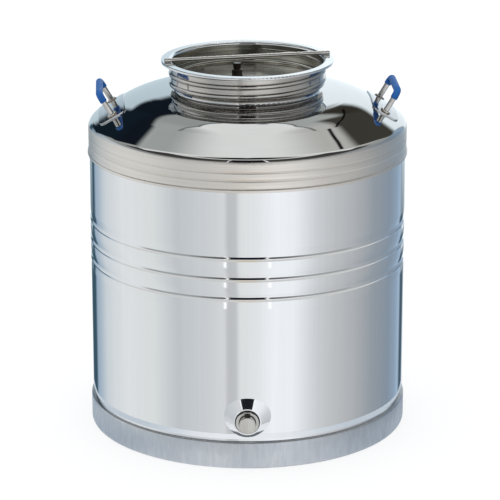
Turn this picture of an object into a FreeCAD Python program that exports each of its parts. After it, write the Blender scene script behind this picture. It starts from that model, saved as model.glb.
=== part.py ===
"""Stainless steel fermenter: a drum with a screwed-in lid, two handles and a low port.

Millimetres, +Z up. The origin is the centre of the foot ring's underside, and the
port looks along -Y. Every sheet is drawn as a closed half profile turned about Z.
"""

import FreeCAD, Part
import math
import os

# Drum body
SHEET = 1.2                 # wall of the body, dome and bottom
BODY_R = 230.0              # outside radius of the plain body wall
BODY_TOP_Z = 418.0
BODY_BOTTOM_Z = 20.0
FOOT_STEP = 1.4             # how much narrower the body is where it enters the foot ring
DRAW_ABOVE_FOOT = 3.1       # the body starts to widen this far above the foot ring
DRAW_H = 9.0
DRAW_LOW_FILLET = 6.0
DRAW_HIGH_FILLET = 10.0

# Rolling beads round the body: narrow crests, with the wall slightly bulged between them
BEAD_DOWN = (166.0, 137.2, 107.5)   # each crest's distance below the body's top edge
BEAD_OUT = 0.9
BEAD_CREST_FILLET = 1.6
CREASE_IN = 0.9             # depth of the crease above and below each crest
CREASE_HALF = 3.4           # from the crest to each crease
CREASE_FILLET = 2.0
BULGE_OUT = 0.6
BULGE_FILLET = 50.0
BEAD_END_LENGTH = 11.0
BEAD_END_FILLET = 40.0

# Brushed band and dome
HEM_DOWN = 10.8             # the band laps over the body by this much
HEM_H = 3.4
HEM_OUT = 1.4
HEM_FILLET = 1.0
GROOVE_UP = (5.6, 17.2)     # height of each groove above the body's top edge
GROOVE_DEEP = 0.7
GROOVE_HALF = 1.9
GROOVE_FILLET = 1.2
KNUCKLE_UP = 26.6           # the band starts to turn inwards this far above the body's top edge
KNUCKLE_R = 14.0
CONE_DEG = 31.0             # slope of the shoulder under the handles
BEND_R = 120.0
BEND_IN = 59.0              # the shoulder's slope meets the crown's slope this far in
CROWN_DEG = 11.0
CROWN_TOP_DEG = 7.5
CROWN_BREAK_IN = 31.0       # from that bend to the crown's own slight bend
COLLAR_H = 3.79             # short collar that carries the neck
COLLAR_FILLET = 3.0

# Bottom and foot
BOTTOM_SHEET = 1.5
BOTTOM_EDGE_Z = 34.0
BOTTOM_RISE = 5.0           # how much higher the bottom's centre is than its edge
BOTTOM_MIDWAY_DROP = 1.0
BOTTOM_CROWN_R = 400.0
BOTTOM_BEND_SHARE = 0.9     # where the edge starts to rise, as a share of the radius
BOTTOM_BEND_R = 60.0
BOTTOM_CORNER_R = 8.0
FOOT_OUT = 4.0              # how far the foot ring stands out from the body
FOOT_SHEET = 1.6
FOOT_H = 40.9
FOOT_FLANGE_W = 16.6        # width of the turned-in foot flange
FOOT_LOW_FILLET = 5.0
FOOT_TOP_FILLET = 3.2

# Neck with its rolled thread
NECK_SHEET = 1.0
NECK_R = 112.0              # outside of the neck between the thread's ridges
NECK_OVER_COLLAR = 6.0      # how much wider the neck is than its collar
NECK_BASE_H = 4.0
NECK_BASE_FILLET = 3.6
NECK_FOOT_STEP = 1.5
NECK_FOOT_FILLET_IN = 2.0
NECK_FLARE_R = 5.0
NECK_LIP_OUT = 10.0
NECK_H = 38.0               # from the collar's top edge to the top face of the lip
THREAD_PITCH = 14.0
THREAD_CENTRE_IN = 2.3      # the ridge's centre line lies this far inside the neck's outside
THREAD_RIDGE_R = 4.5        # radius of the ridge's rounded section, outside the neck
THREAD_FRONT_UP = 9.7       # height of the lower ridge at the front, above the collar
THREAD_START_DEG = -112.0   # start of the ridge, counted from the front
THREAD_FIT = 0.7            # gap between the lid's ridge and the neck's groove
THREAD_END_GAP_DEG = 3.0    # how much later the groove starts than the ridge
THREAD_PIECES = 3

# Lid
LID_SHEET = 1.0
GASKET_H = 1.5
GASKET_OUT_IN = 0.6         # the gasket's outer edge lies this far inside the lip's edge
GASKET_W = 5.2
FLANGE_OVER_LIP = 3.0
FLANGE_EDGE_H = 3.0
FLANGE_EDGE_FILLET = 1.6
PAN_GAP = 0.7               # gap between the pan's wall and the neck's inside
PAN_RIM_FILLET = 3.2
PAN_DEPTH = 27.5            # from the lip's top face down to the floor near the wall
PAN_CROWN_H = 2.0
PAN_FLAT_SHARE = 0.317      # flat middle of the floor, as a share of the pan's radius
PAN_SLOPE_SHARE = 0.725
PAN_FLOOR_BEND_R = 60.0
PAN_CORNER_R = 6.0
LID_RIDGE_START_DEG = 215.0
LID_RIDGE_END_DEG = 530.0
LID_GROOVE_GAP_DEG = 1.0
BAR_R = 3.1
BAR_END_IN = 3.0            # each end of the bar lies this far inside the flange's edge
BAR_TURN_DEG = 12.5
BAR_FLAT_DEEP = 0.4
BAR_SEAT_IN = 3.3           # the bar's flats start this far inside the pan's wall
BAR_END_FILLET = 1.0

# Vent in the lid's floor
VENT_X = -15.0
VENT_Y = -1.5
VENT_SEAL_R = 9.0
VENT_SEAL_H = 1.5
VENT_SHANK_R = 4.5
VENT_SHANK_DOWN = 11.0
VENT_HOLE_GAP = 0.05
VENT_BODY_R = 7.6
VENT_BODY_H = 11.0
VENT_BODY_LOW_FILLET = 0.6
VENT_BODY_TOP_FILLET = 1.0
VENT_NECK_R = 5.2
VENT_NECK_H = 2.5
VENT_NECK_FILLET = 0.4
VENT_BORE_R = 2.0
VENT_KNOB_R = 5.9
VENT_KNOB_H = 6.5
VENT_KNOB_GAP = 0.3
VENT_KNOB_FILLET = 0.8
VENT_KNOB_FOOT_FILLET = 0.5
VENT_STEM_FILLET = 0.3
VENT_FLUTES = 12
VENT_FLUTE_R = 0.7
VENT_NUT_ACROSS_R = 8.2
VENT_NUT_H = 4.0
NUT_SIDES = 6
VENT_WASHER_R = 9.0
VENT_WASHER_H = 1.2
RUN_FIT = 0.05

# Handles
HANDLE_DEG = (183.0, 3.0)   # left and right, opposite each other; the front is -90
HANDLE_IN = 33.6            # the handle's centre lies this far inside the body's radius
PLATE_SHEET = 2.0
PLATE_LENGTH = 108.0
PLATE_WIDTH = 42.0
PLATE_SHIFT_DOWN = 1.0
PLATE_CORNER_R = 9.0
BAIL_ROD_R = 4.0
BAIL_WIDTH = 88.0
BAIL_HEIGHT = 34.0
BAIL_CORNER_R = 9.0
BAIL_FOOT_R = 6.6
BAIL_FOOT_H = 4.0
BAIL_FOOT_FILLET = 1.2
GRIP_R = 5.2
GRIP_FILLET = 0.7
GRIP_DOWN = 12.0            # how far the sleeve reaches down each leg from the bar's line

# Port
PORT_ABOVE_FOOT = 31.6      # the port's centre above the foot ring
BOSS_OUT = 5.5              # how far the boss's flat face stands out from the body
BOSS_FACE_R = 19.0
BOSS_BASE_R = 38.0
BOSS_BASE_UP = 9.0          # the boss's foot is centred above its face, clear of the foot ring
BOSS_BASE_IN = 5.0
BOSS_DEPTH = 40.0
BOSS_EDGE_FILLET = 2.6
PORT_HOLE_R = 13.0
FERRULE_R = 16.5
FERRULE_OUT = 4.5
FERRULE_FILLET = 1.4
FERRULE_TUBE_IN = 10.0
FERRULE_BORE_R = 10.0
PORT_NUT_R = 16.0
PORT_NUT_H = 5.0
PORT_SEAL_R = 12.5
PORT_SEAL_H = 1.4
PLUG_HEAD_R = 11.8
PLUG_HEAD_H = 8.5
PLUG_FILLET = 1.0
PLUG_END_FILLET = 0.8
PLUG_SHANK_LENGTH = 12.0

# Sizes that follow from the ones above
CONE_RISE = math.tan(math.radians(CONE_DEG))
CROWN_RISE = math.tan(math.radians(CROWN_DEG))
CROWN_TOP_RISE = math.tan(math.radians(CROWN_TOP_DEG))
BAND_R = BODY_R + SHEET
BODY_FOOT_R = BODY_R - FOOT_STEP
BODY_DRAW_Z = FOOT_H + DRAW_ABOVE_FOOT
FOOT_R = BODY_FOOT_R + FOOT_OUT
FOOT_FLANGE_R = FOOT_R - FOOT_FLANGE_W
BAND_HEM_Z = BODY_TOP_Z - HEM_DOWN
COLLAR_R = NECK_R - NECK_OVER_COLLAR
BEND_AT_R = BODY_R - BEND_IN
CROWN_BREAK_R = BEND_AT_R - CROWN_BREAK_IN
DOME_FOOT_Z = BODY_TOP_Z + KNUCKLE_UP + KNUCKLE_R * math.tan(math.radians(90 - CONE_DEG) / 2)
BEND_Z = DOME_FOOT_Z + (BAND_R - BEND_AT_R) * CONE_RISE
CROWN_BREAK_Z = BEND_Z + CROWN_BREAK_IN * CROWN_RISE
DOME_TOP_Z = CROWN_BREAK_Z + (CROWN_BREAK_R - COLLAR_R) * CROWN_TOP_RISE
COLLAR_TOP_Z = DOME_TOP_Z + COLLAR_H
NECK_LIP_Z = COLLAR_TOP_Z + NECK_H
NECK_LIP_R = NECK_R + NECK_LIP_OUT
THREAD_CENTRE_R = NECK_R - THREAD_CENTRE_IN
THREAD_FRONT_Z = COLLAR_TOP_Z + THREAD_FRONT_UP
FLANGE_LOW_Z = NECK_LIP_Z + GASKET_H
FLANGE_TOP_Z = FLANGE_LOW_Z + LID_SHEET
FLANGE_R = NECK_LIP_R + FLANGE_OVER_LIP
PAN_R = NECK_R - NECK_SHEET - PAN_GAP
PAN_FLOOR_Z = NECK_LIP_Z - PAN_DEPTH
PAN_CENTRE_Z = PAN_FLOOR_Z + PAN_CROWN_H
HANDLE_R = BODY_R - HANDLE_IN
PORT_Z = FOOT_H + PORT_ABOVE_FOOT
BOSS_FACE_Y = BODY_R + BOSS_OUT
BOSS_BASE_Y = BODY_R - BOSS_BASE_IN

Z_AXIS = FreeCAD.Vector(0, 0, 1)
ORIGIN = FreeCAD.Vector(0, 0, 0)


def rounded_outline(corners):
    """Return the edges of a path in the XZ plane whose corners (x, z, radius) are rounded."""
    edges = []
    previous = FreeCAD.Vector(corners[0][0], 0, corners[0][1])
    for before, corner, after in zip(corners, corners[1:], corners[2:]):
        point = FreeCAD.Vector(corner[0], 0, corner[1])
        to_before = FreeCAD.Vector(before[0], 0, before[1]).sub(point)
        to_after = FreeCAD.Vector(after[0], 0, after[1]).sub(point)
        to_before.normalize()
        to_after.normalize()
        if corner[2] > 0:
            half_angle = to_before.getAngle(to_after) / 2
            reach = corner[2] / math.tan(half_angle)
            start = point.add(to_before * reach)
            end = point.add(to_after * reach)
            inward = to_before.add(to_after)
            inward.normalize()
            centre = point.add(inward * (corner[2] / math.sin(half_angle)))
            middle = centre.sub(inward * corner[2])
            edges.append(Part.makeLine(previous, start))
            edges.append(Part.Arc(start, middle, end).toShape())
            previous = end
        else:
            edges.append(Part.makeLine(previous, point))
            previous = point
    last = FreeCAD.Vector(corners[-1][0], 0, corners[-1][1])
    edges.append(Part.makeLine(previous, last))
    return edges


def turned(corners):
    """Return the solid that the outline makes when it is closed and turned about Z."""
    edges = rounded_outline(corners)
    first = FreeCAD.Vector(corners[0][0], 0, corners[0][1])
    last = FreeCAD.Vector(corners[-1][0], 0, corners[-1][1])
    edges.append(Part.makeLine(last, first))
    face = Part.Face(Part.Wire(edges))
    return face.revolve(ORIGIN, Z_AXIS, 360)


def turned_to_axis(corners):
    """Return the solid between a half profile and the Z axis."""
    low = (0.0, corners[0][1], 0.0)
    high = (0.0, corners[-1][1], 0.0)
    return turned([low] + corners + [high])


def tube(radius_out, radius_in, z_low, z_high):
    """Return a plain ring about Z."""
    outer = Part.makeCylinder(radius_out, z_high - z_low, FreeCAD.Vector(0, 0, z_low))
    inner = Part.makeCylinder(radius_in, z_high - z_low, FreeCAD.Vector(0, 0, z_low))
    return outer.cut(inner)


def facing_front(shape):
    """Turn a shape made about Z so that its +Z looks out of the port, and put it there."""
    shape.rotate(ORIGIN, FreeCAD.Vector(1, 0, 0), 90)
    shape.translate(FreeCAD.Vector(0, 0, PORT_Z))
    return shape


def body_profile(inset):
    """Return the body wall's half profile, moved towards the axis by inset."""
    plain = BODY_R - inset
    foot = BODY_FOOT_R - inset
    corners = [
        (foot, BODY_BOTTOM_Z, 0.0),
        (foot, BODY_DRAW_Z, DRAW_LOW_FILLET),
        (plain, BODY_DRAW_Z + DRAW_H, DRAW_HIGH_FILLET),
    ]
    bead_heights = [BODY_TOP_Z - down for down in BEAD_DOWN]
    corners.append((plain, bead_heights[0] - CREASE_HALF - BEAD_END_LENGTH, BEAD_END_FILLET))
    for index, bead_z in enumerate(bead_heights):
        corners.append((plain - CREASE_IN, bead_z - CREASE_HALF, CREASE_FILLET))
        corners.append((plain + BEAD_OUT, bead_z, BEAD_CREST_FILLET))
        corners.append((plain - CREASE_IN, bead_z + CREASE_HALF, CREASE_FILLET))
        if index + 1 < len(bead_heights):
            middle_z = (bead_z + bead_heights[index + 1]) / 2
            corners.append((plain + BULGE_OUT, middle_z, BULGE_FILLET))
    corners.append((plain, bead_heights[-1] + CREASE_HALF + BEAD_END_LENGTH, BEAD_END_FILLET))
    corners.append((plain, BODY_TOP_Z, 0.0))
    return corners


def boss_form(inset):
    """Return the port boss as a filled form, with its face and flank moved in by inset."""
    face_at = FreeCAD.Vector(0, 0, BOSS_FACE_Y - inset)
    base_at = FreeCAD.Vector(0, BOSS_BASE_UP, BOSS_BASE_Y - inset)
    face_circle = Part.Wire(Part.makeCircle(BOSS_FACE_R - inset, face_at))
    base_circle = Part.Wire(Part.makeCircle(BOSS_BASE_R - inset, base_at))
    flank = Part.makeLoft([base_circle, face_circle], True)
    rim = [edge for edge in flank.Edges if abs(edge.CenterOfMass.z - face_at.z) < 0.01]
    flank = flank.makeFillet(BOSS_EDGE_FILLET, rim)
    root_at = FreeCAD.Vector(0, BOSS_BASE_UP, BOSS_BASE_Y - inset - BOSS_DEPTH)
    root = Part.makeCylinder(BOSS_BASE_R - inset, BOSS_DEPTH, root_at)
    return facing_front(flank.fuse(root))


def make_body_shell():
    outside = turned_to_axis(body_profile(0.0)).fuse(boss_form(0.0))
    inside = turned_to_axis(body_profile(SHEET)).fuse(boss_form(SHEET))
    hole = facing_front(Part.makeCylinder(PORT_HOLE_R, BOSS_FACE_Y * 2))
    return outside.cut(inside).cut(hole)


def shoulder_points():
    """Return the corner points of the dome's outside, from the knuckle to the collar."""
    return [
        (BAND_R, DOME_FOOT_Z, KNUCKLE_R),
        (BEND_AT_R, BEND_Z, BEND_R),
        (CROWN_BREAK_R, CROWN_BREAK_Z, BEND_R),
        (COLLAR_R, DOME_TOP_Z, COLLAR_FILLET),
    ]


def lifted(points, lift):
    """Move the dome's points outwards by lift, square to the surface on both sides."""
    angles = [90.0, CONE_DEG, CROWN_DEG, CROWN_TOP_DEG, 90.0]
    moved = []
    for index, (radius, height, fillet) in enumerate(points):
        below = math.radians(angles[index])
        above = math.radians(angles[index + 1])
        middle = (below + above) / 2
        reach = lift / math.cos((below - above) / 2)
        bend = fillet + lift
        if index == len(points) - 1:
            bend = fillet - lift
            middle = (above - below) / 2
            reach = lift / math.sin((below + above) / 2)
            moved.append((radius + reach * math.cos(middle), height + reach * math.sin(middle), bend))
        else:
            moved.append((radius + reach * math.sin(middle), height + reach * math.cos(middle), bend))
    return moved


def make_shoulder_dome():
    hem_r = BAND_R + HEM_OUT
    corners = [
        (hem_r, BAND_HEM_Z, HEM_FILLET),
        (hem_r, BAND_HEM_Z + HEM_H, HEM_FILLET),
        (BAND_R, BAND_HEM_Z + HEM_H + HEM_OUT, HEM_FILLET),
    ]
    for groove_up in GROOVE_UP:
        groove_z = BODY_TOP_Z + groove_up
        corners.append((BAND_R, groove_z - GROOVE_HALF, GROOVE_FILLET))
        corners.append((BAND_R - GROOVE_DEEP, groove_z, GROOVE_FILLET))
        corners.append((BAND_R, groove_z + GROOVE_HALF, GROOVE_FILLET))
    corners += shoulder_points()
    corners.append((COLLAR_R, COLLAR_TOP_Z, 0.0))
    outside = turned_to_axis([(BODY_R, BAND_HEM_Z, 0.0)] + corners)
    inner = lifted(shoulder_points(), -SHEET)
    collar_in = COLLAR_R - SHEET
    hollow = [(BODY_R, BAND_HEM_Z, 0.0)] + inner[:-1]
    hollow.append((collar_in, inner[-1][1], COLLAR_FILLET))
    hollow.append((collar_in, COLLAR_TOP_Z, 0.0))
    return outside.cut(turned_to_axis(hollow))


def make_bottom_plate():
    edge_r = BODY_FOOT_R - SHEET
    under_r = edge_r - BOTTOM_SHEET
    bend_r = edge_r * BOTTOM_BEND_SHARE
    centre_z = BOTTOM_EDGE_Z + BOTTOM_RISE
    midway_z = centre_z - BOTTOM_MIDWAY_DROP
    top = [
        (0.0, centre_z, 0.0),
        (edge_r / 2, midway_z, BOTTOM_CROWN_R),
        (bend_r, BOTTOM_EDGE_Z, BOTTOM_BEND_R),
        (edge_r, BOTTOM_EDGE_Z, BOTTOM_CORNER_R),
        (edge_r, BODY_BOTTOM_Z, 0.0),
    ]
    under = [
        (under_r, BODY_BOTTOM_Z, 0.0),
        (under_r, BOTTOM_EDGE_Z - BOTTOM_SHEET, BOTTOM_CORNER_R - BOTTOM_SHEET),
        (bend_r, BOTTOM_EDGE_Z - BOTTOM_SHEET, BOTTOM_BEND_R),
        (edge_r / 2, midway_z - BOTTOM_SHEET, BOTTOM_CROWN_R),
        (0.0, centre_z - BOTTOM_SHEET, 0.0),
    ]
    return turned(top + under)


def make_foot_ring():
    outer_face = [
        (FOOT_FLANGE_R, 0.0, 0.0),
        (FOOT_R, 0.0, FOOT_LOW_FILLET),
        (FOOT_R, FOOT_H, FOOT_TOP_FILLET),
        (BODY_FOOT_R, FOOT_H, 0.0),
    ]
    inner_r = FOOT_R - FOOT_SHEET
    inner_face = [
        (BODY_FOOT_R, FOOT_H - FOOT_SHEET, 0.0),
        (inner_r, FOOT_H - FOOT_SHEET, FOOT_TOP_FILLET - FOOT_SHEET),
        (inner_r, FOOT_SHEET, FOOT_LOW_FILLET - FOOT_SHEET),
        (FOOT_FLANGE_R, FOOT_SHEET, 0.0),
    ]
    return turned(outer_face + inner_face)


def ridge_height(angle_deg):
    """Return the ridge's height at an angle counted from the front, rising to the right."""
    return THREAD_FRONT_Z + THREAD_PITCH * angle_deg / 360


def ridge_pieces(section_r, start_deg, end_deg):
    """Return a round coil along the thread's centre line, as pieces that meet end to end."""
    pieces = []
    step = (end_deg - start_deg) / THREAD_PIECES
    centre = FreeCAD.Vector(THREAD_CENTRE_R, 0, 0)
    for index in range(THREAD_PIECES):
        piece_start = start_deg + index * step
        path = Part.makeHelix(THREAD_PITCH, THREAD_PITCH * step / 360, THREAD_CENTRE_R)
        section = Part.Wire(Part.makeCircle(section_r, centre, FreeCAD.Vector(0, 1, 0)))
        piece = Part.Wire(path).makePipeShell([section], True, True)
        piece.rotate(ORIGIN, Z_AXIS, piece_start - 90)
        piece.translate(FreeCAD.Vector(0, 0, ridge_height(piece_start)))
        pieces.append(piece)
    return pieces


def angle_at_height(height):
    """Return the angle, counted from the front, at which the ridge reaches a height."""
    return (height - THREAD_FRONT_Z) * 360 / THREAD_PITCH


def make_neck_ring():
    inner_r = NECK_R - NECK_SHEET
    lip_under = NECK_LIP_Z - NECK_SHEET
    base_z = COLLAR_TOP_Z + NECK_BASE_H
    foot_in = COLLAR_R - SHEET
    outside = turned_to_axis([
        (COLLAR_R, COLLAR_TOP_Z, 0.0),
        (COLLAR_R, base_z - NECK_FOOT_STEP, NECK_FOOT_STEP),
        (NECK_R, base_z, NECK_BASE_FILLET),
        (NECK_R, lip_under, NECK_FLARE_R - NECK_SHEET),
        (NECK_LIP_R, lip_under, 0.0),
        (NECK_LIP_R, NECK_LIP_Z, 0.0),
    ])
    inside = turned_to_axis([
        (foot_in, COLLAR_TOP_Z, 0.0),
        (foot_in, base_z - NECK_SHEET, NECK_FOOT_FILLET_IN),
        (inner_r, base_z + NECK_SHEET, NECK_BASE_FILLET - NECK_SHEET),
        (inner_r, NECK_LIP_Z, NECK_FLARE_R),
        (NECK_LIP_R + THREAD_PITCH, NECK_LIP_Z, 0.0),
        (NECK_LIP_R + THREAD_PITCH, NECK_LIP_Z + THREAD_PITCH, 0.0),
    ])
    top_deg = angle_at_height(NECK_LIP_Z)
    ridge = ridge_pieces(THREAD_RIDGE_R, THREAD_START_DEG, top_deg)
    groove_start = THREAD_START_DEG + THREAD_END_GAP_DEG
    groove_end = top_deg + 2 * THREAD_END_GAP_DEG
    groove = ridge_pieces(THREAD_RIDGE_R - NECK_SHEET, groove_start, groove_end)
    return outside.fuse(ridge).cut(inside.fuse(groove))


def make_lid_gasket():
    outer_r = NECK_LIP_R - GASKET_OUT_IN
    return tube(outer_r, outer_r - GASKET_W, NECK_LIP_Z, FLANGE_LOW_Z)


def make_lid_pan():
    edge_z = FLANGE_TOP_Z - FLANGE_EDGE_H
    flat_r = PAN_R * PAN_FLAT_SHARE
    slope_r = PAN_R * PAN_SLOPE_SHARE
    floor_low = PAN_FLOOR_Z - LID_SHEET
    inner_r = PAN_R - LID_SHEET
    outside = turned_to_axis([
        (flat_r, PAN_CENTRE_Z - LID_SHEET, PAN_FLOOR_BEND_R),
        (slope_r, floor_low, PAN_FLOOR_BEND_R),
        (PAN_R, floor_low, PAN_CORNER_R),
        (PAN_R, FLANGE_LOW_Z, PAN_RIM_FILLET),
        (FLANGE_R - LID_SHEET, FLANGE_LOW_Z, FLANGE_EDGE_FILLET / 2),
        (FLANGE_R - LID_SHEET, edge_z, 0.0),
        (FLANGE_R, edge_z, 0.0),
        (FLANGE_R, FLANGE_TOP_Z, FLANGE_EDGE_FILLET),
        (inner_r, FLANGE_TOP_Z, 0.0),
    ])
    inside = turned_to_axis([
        (flat_r, PAN_CENTRE_Z, PAN_FLOOR_BEND_R),
        (slope_r, PAN_FLOOR_Z, PAN_FLOOR_BEND_R),
        (inner_r, PAN_FLOOR_Z, PAN_CORNER_R - LID_SHEET),
        (inner_r, FLANGE_TOP_Z, PAN_RIM_FILLET + LID_SHEET),
        (FLANGE_R + THREAD_PITCH, FLANGE_TOP_Z, 0.0),
        (FLANGE_R + THREAD_PITCH, FLANGE_TOP_Z + THREAD_PITCH, 0.0),
    ])
    ridge_r = THREAD_RIDGE_R - NECK_SHEET - THREAD_FIT
    ridge = ridge_pieces(ridge_r, LID_RIDGE_START_DEG, LID_RIDGE_END_DEG)
    groove_start = LID_RIDGE_START_DEG + LID_GROOVE_GAP_DEG
    groove_end = LID_RIDGE_END_DEG - LID_GROOVE_GAP_DEG
    groove = ridge_pieces(ridge_r - LID_SHEET, groove_start, groove_end)
    hole_at = FreeCAD.Vector(VENT_X, VENT_Y, PAN_CENTRE_Z - 2 * LID_SHEET)
    hole = Part.makeCylinder(VENT_SHANK_R + VENT_HOLE_GAP, 3 * LID_SHEET, hole_at)
    return outside.fuse(ridge).cut(inside.fuse(groove)).cut(hole)


def make_lid_bar():
    centre_z = FLANGE_TOP_Z + BAR_R - BAR_FLAT_DEEP
    half_length = FLANGE_R - BAR_END_IN
    flat_from = PAN_R - BAR_SEAT_IN
    rod = Part.makeCylinder(BAR_R, 2 * half_length)
    ends = [edge for edge in rod.Edges if edge.Curve.TypeId == "Part::GeomCircle"]
    rod = rod.makeFillet(BAR_END_FILLET, ends)
    rod.rotate(ORIGIN, FreeCAD.Vector(0, 1, 0), 90)
    rod.translate(FreeCAD.Vector(-half_length, 0, centre_z))
    side = 4 * BAR_R
    reach = half_length - flat_from + BAR_R
    for direction in (-1, 1):
        start = flat_from if direction > 0 else -flat_from - reach
        seat = Part.makeBox(reach, side, side, FreeCAD.Vector(start, -side / 2, FLANGE_TOP_Z - side))
        rod = rod.cut(seat)
    rod.rotate(ORIGIN, Z_AXIS, BAR_TURN_DEG)
    return rod


def at_vent(shape):
    shape.translate(FreeCAD.Vector(VENT_X, VENT_Y, 0))
    return shape


def make_vent_seal():
    return at_vent(tube(VENT_SEAL_R, VENT_SHANK_R + RUN_FIT, PAN_CENTRE_Z, PAN_CENTRE_Z + VENT_SEAL_H))


def make_vent_body():
    seat_z = PAN_CENTRE_Z + VENT_SEAL_H
    top_z = seat_z + VENT_BODY_H
    body = turned_to_axis([
        (VENT_SHANK_R, seat_z - VENT_SEAL_H - VENT_SHANK_DOWN, 0.0),
        (VENT_SHANK_R, seat_z, 0.0),
        (VENT_BODY_R, seat_z, VENT_BODY_LOW_FILLET),
        (VENT_BODY_R, top_z, VENT_BODY_TOP_FILLET),
        (VENT_NECK_R, top_z, VENT_NECK_FILLET),
        (VENT_NECK_R, top_z + VENT_NECK_H, 0.0),
    ])
    bore = Part.makeCylinder(VENT_BORE_R, 3 * VENT_BODY_H + VENT_SHANK_DOWN)
    bore.translate(FreeCAD.Vector(0, 0, seat_z - 2 * VENT_BODY_H))
    return at_vent(body.cut(bore))


def make_vent_knob():
    low = PAN_CENTRE_Z + VENT_SEAL_H + VENT_BODY_H + VENT_NECK_H + VENT_KNOB_GAP
    knob = turned_to_axis([
        (VENT_BORE_R - RUN_FIT, low - VENT_BODY_H, VENT_STEM_FILLET),
        (VENT_BORE_R - RUN_FIT, low, 0.0),
        (VENT_KNOB_R, low, VENT_KNOB_FOOT_FILLET),
        (VENT_KNOB_R, low + VENT_KNOB_H, VENT_KNOB_FILLET),
        (VENT_KNOB_R / 2, low + VENT_KNOB_H, 0.0),
    ])
    for index in range(VENT_FLUTES):
        turn = 2 * math.pi * index / VENT_FLUTES
        at = FreeCAD.Vector(VENT_KNOB_R * math.cos(turn), VENT_KNOB_R * math.sin(turn), low)
        knob = knob.cut(Part.makeCylinder(VENT_FLUTE_R, VENT_KNOB_H, at))
    return at_vent(knob)


def make_vent_washer():
    top = PAN_CENTRE_Z - LID_SHEET
    return at_vent(tube(VENT_WASHER_R, VENT_SHANK_R + RUN_FIT, top - VENT_WASHER_H, top))


def make_vent_nut():
    top = PAN_CENTRE_Z - LID_SHEET - VENT_WASHER_H
    corners = []
    for index in range(NUT_SIDES + 1):
        turn = 2 * math.pi * index / NUT_SIDES
        across = FreeCAD.Vector(math.cos(turn), math.sin(turn), 0) * VENT_NUT_ACROSS_R
        corners.append(across.add(FreeCAD.Vector(0, 0, top)))
    nut = Part.Face(Part.makePolygon(corners)).extrude(FreeCAD.Vector(0, 0, -VENT_NUT_H))
    bore = Part.makeCylinder(VENT_SHANK_R, 3 * VENT_NUT_H, FreeCAD.Vector(0, 0, top - 2 * VENT_NUT_H))
    return at_vent(nut.cut(bore))


def shoulder_height(radius):
    """Return the height of the dome's outside on the straight part of the shoulder."""
    return DOME_FOOT_Z + (BAND_R - radius) * CONE_RISE


def handle_place(azimuth_deg):
    """Return the placement of a handle's own frame: X along the bar, Z off the shoulder."""
    lean = FreeCAD.Rotation(FreeCAD.Vector(0, 1, 0), CONE_DEG)
    quarter = FreeCAD.Rotation(Z_AXIS, 90)
    spin = FreeCAD.Rotation(Z_AXIS, azimuth_deg)
    turn = math.radians(azimuth_deg)
    base = FreeCAD.Vector(
        HANDLE_R * math.cos(turn),
        HANDLE_R * math.sin(turn),
        shoulder_height(HANDLE_R),
    )
    return FreeCAD.Placement(base, spin.multiply(lean).multiply(quarter))


def placed(shape, azimuth_deg):
    shape.Placement = handle_place(azimuth_deg).multiply(shape.Placement)
    return shape


def shoulder_solid(lift):
    """Return everything under the dome's outside, raised by lift."""
    corners = [(BAND_R + lift, BAND_HEM_Z, 0.0)]
    corners += lifted(shoulder_points(), lift)[:-1]
    corners.append((COLLAR_R + lift, COLLAR_TOP_Z, 0.0))
    return turned_to_axis(corners)


def make_handle_plate(azimuth_deg):
    half_l = PLATE_LENGTH / 2
    half_w = PLATE_WIDTH / 2
    low = FreeCAD.Vector(-half_l, -half_w - PLATE_SHIFT_DOWN, -PLATE_LENGTH / 2)
    block = Part.makeBox(PLATE_LENGTH, PLATE_WIDTH, PLATE_LENGTH, low)
    upright = [edge for edge in block.Edges if abs(edge.tangentAt(edge.FirstParameter).z) > 0.99]
    block = placed(block.makeFillet(PLATE_CORNER_R, upright), azimuth_deg)
    skin = shoulder_solid(PLATE_SHEET).cut(shoulder_solid(0.0))
    return skin.common(block)


def bail_path(down):
    """Return the bail's centre line, whose legs reach down from the bar's line."""
    half = BAIL_WIDTH / 2
    top = BAIL_HEIGHT
    turn = BAIL_CORNER_R
    slant = turn * (1 - math.sqrt(0.5))
    left_arc = Part.Arc(
        FreeCAD.Vector(-half, 0, top - turn),
        FreeCAD.Vector(-half + slant, 0, top - slant),
        FreeCAD.Vector(-half + turn, 0, top),
    )
    right_arc = Part.Arc(
        FreeCAD.Vector(half - turn, 0, top),
        FreeCAD.Vector(half - slant, 0, top - slant),
        FreeCAD.Vector(half, 0, top - turn),
    )
    left_leg = Part.makeLine(FreeCAD.Vector(-half, 0, top - down), FreeCAD.Vector(-half, 0, top - turn))
    bar = Part.makeLine(FreeCAD.Vector(-half + turn, 0, top), FreeCAD.Vector(half - turn, 0, top))
    right_leg = Part.makeLine(FreeCAD.Vector(half, 0, top - turn), FreeCAD.Vector(half, 0, top - down))
    return Part.Wire([left_leg, left_arc.toShape(), bar, right_arc.toShape(), right_leg])


def rod_along(down, radius):
    start = FreeCAD.Vector(-BAIL_WIDTH / 2, 0, BAIL_HEIGHT - down)
    circle = Part.Wire(Part.makeCircle(radius, start, Z_AXIS))
    return bail_path(down).makePipeShell([circle], True, True)


def make_handle_bail(azimuth_deg):
    bury = 3 * BAIL_ROD_R
    bail = rod_along(BAIL_HEIGHT + bury, BAIL_ROD_R)
    for side in (-1, 1):
        at = FreeCAD.Vector(side * BAIL_WIDTH / 2, 0, -bury)
        foot = Part.makeCylinder(BAIL_FOOT_R, bury + BAIL_FOOT_H - PLATE_SHEET, at)
        foot_top = [edge for edge in foot.Edges if edge.CenterOfMass.z > 0]
        foot = foot.makeFillet(BAIL_FOOT_FILLET, foot_top)
        bail = bail.fuse(foot)
    return placed(bail, azimuth_deg).cut(shoulder_solid(PLATE_SHEET))


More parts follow.
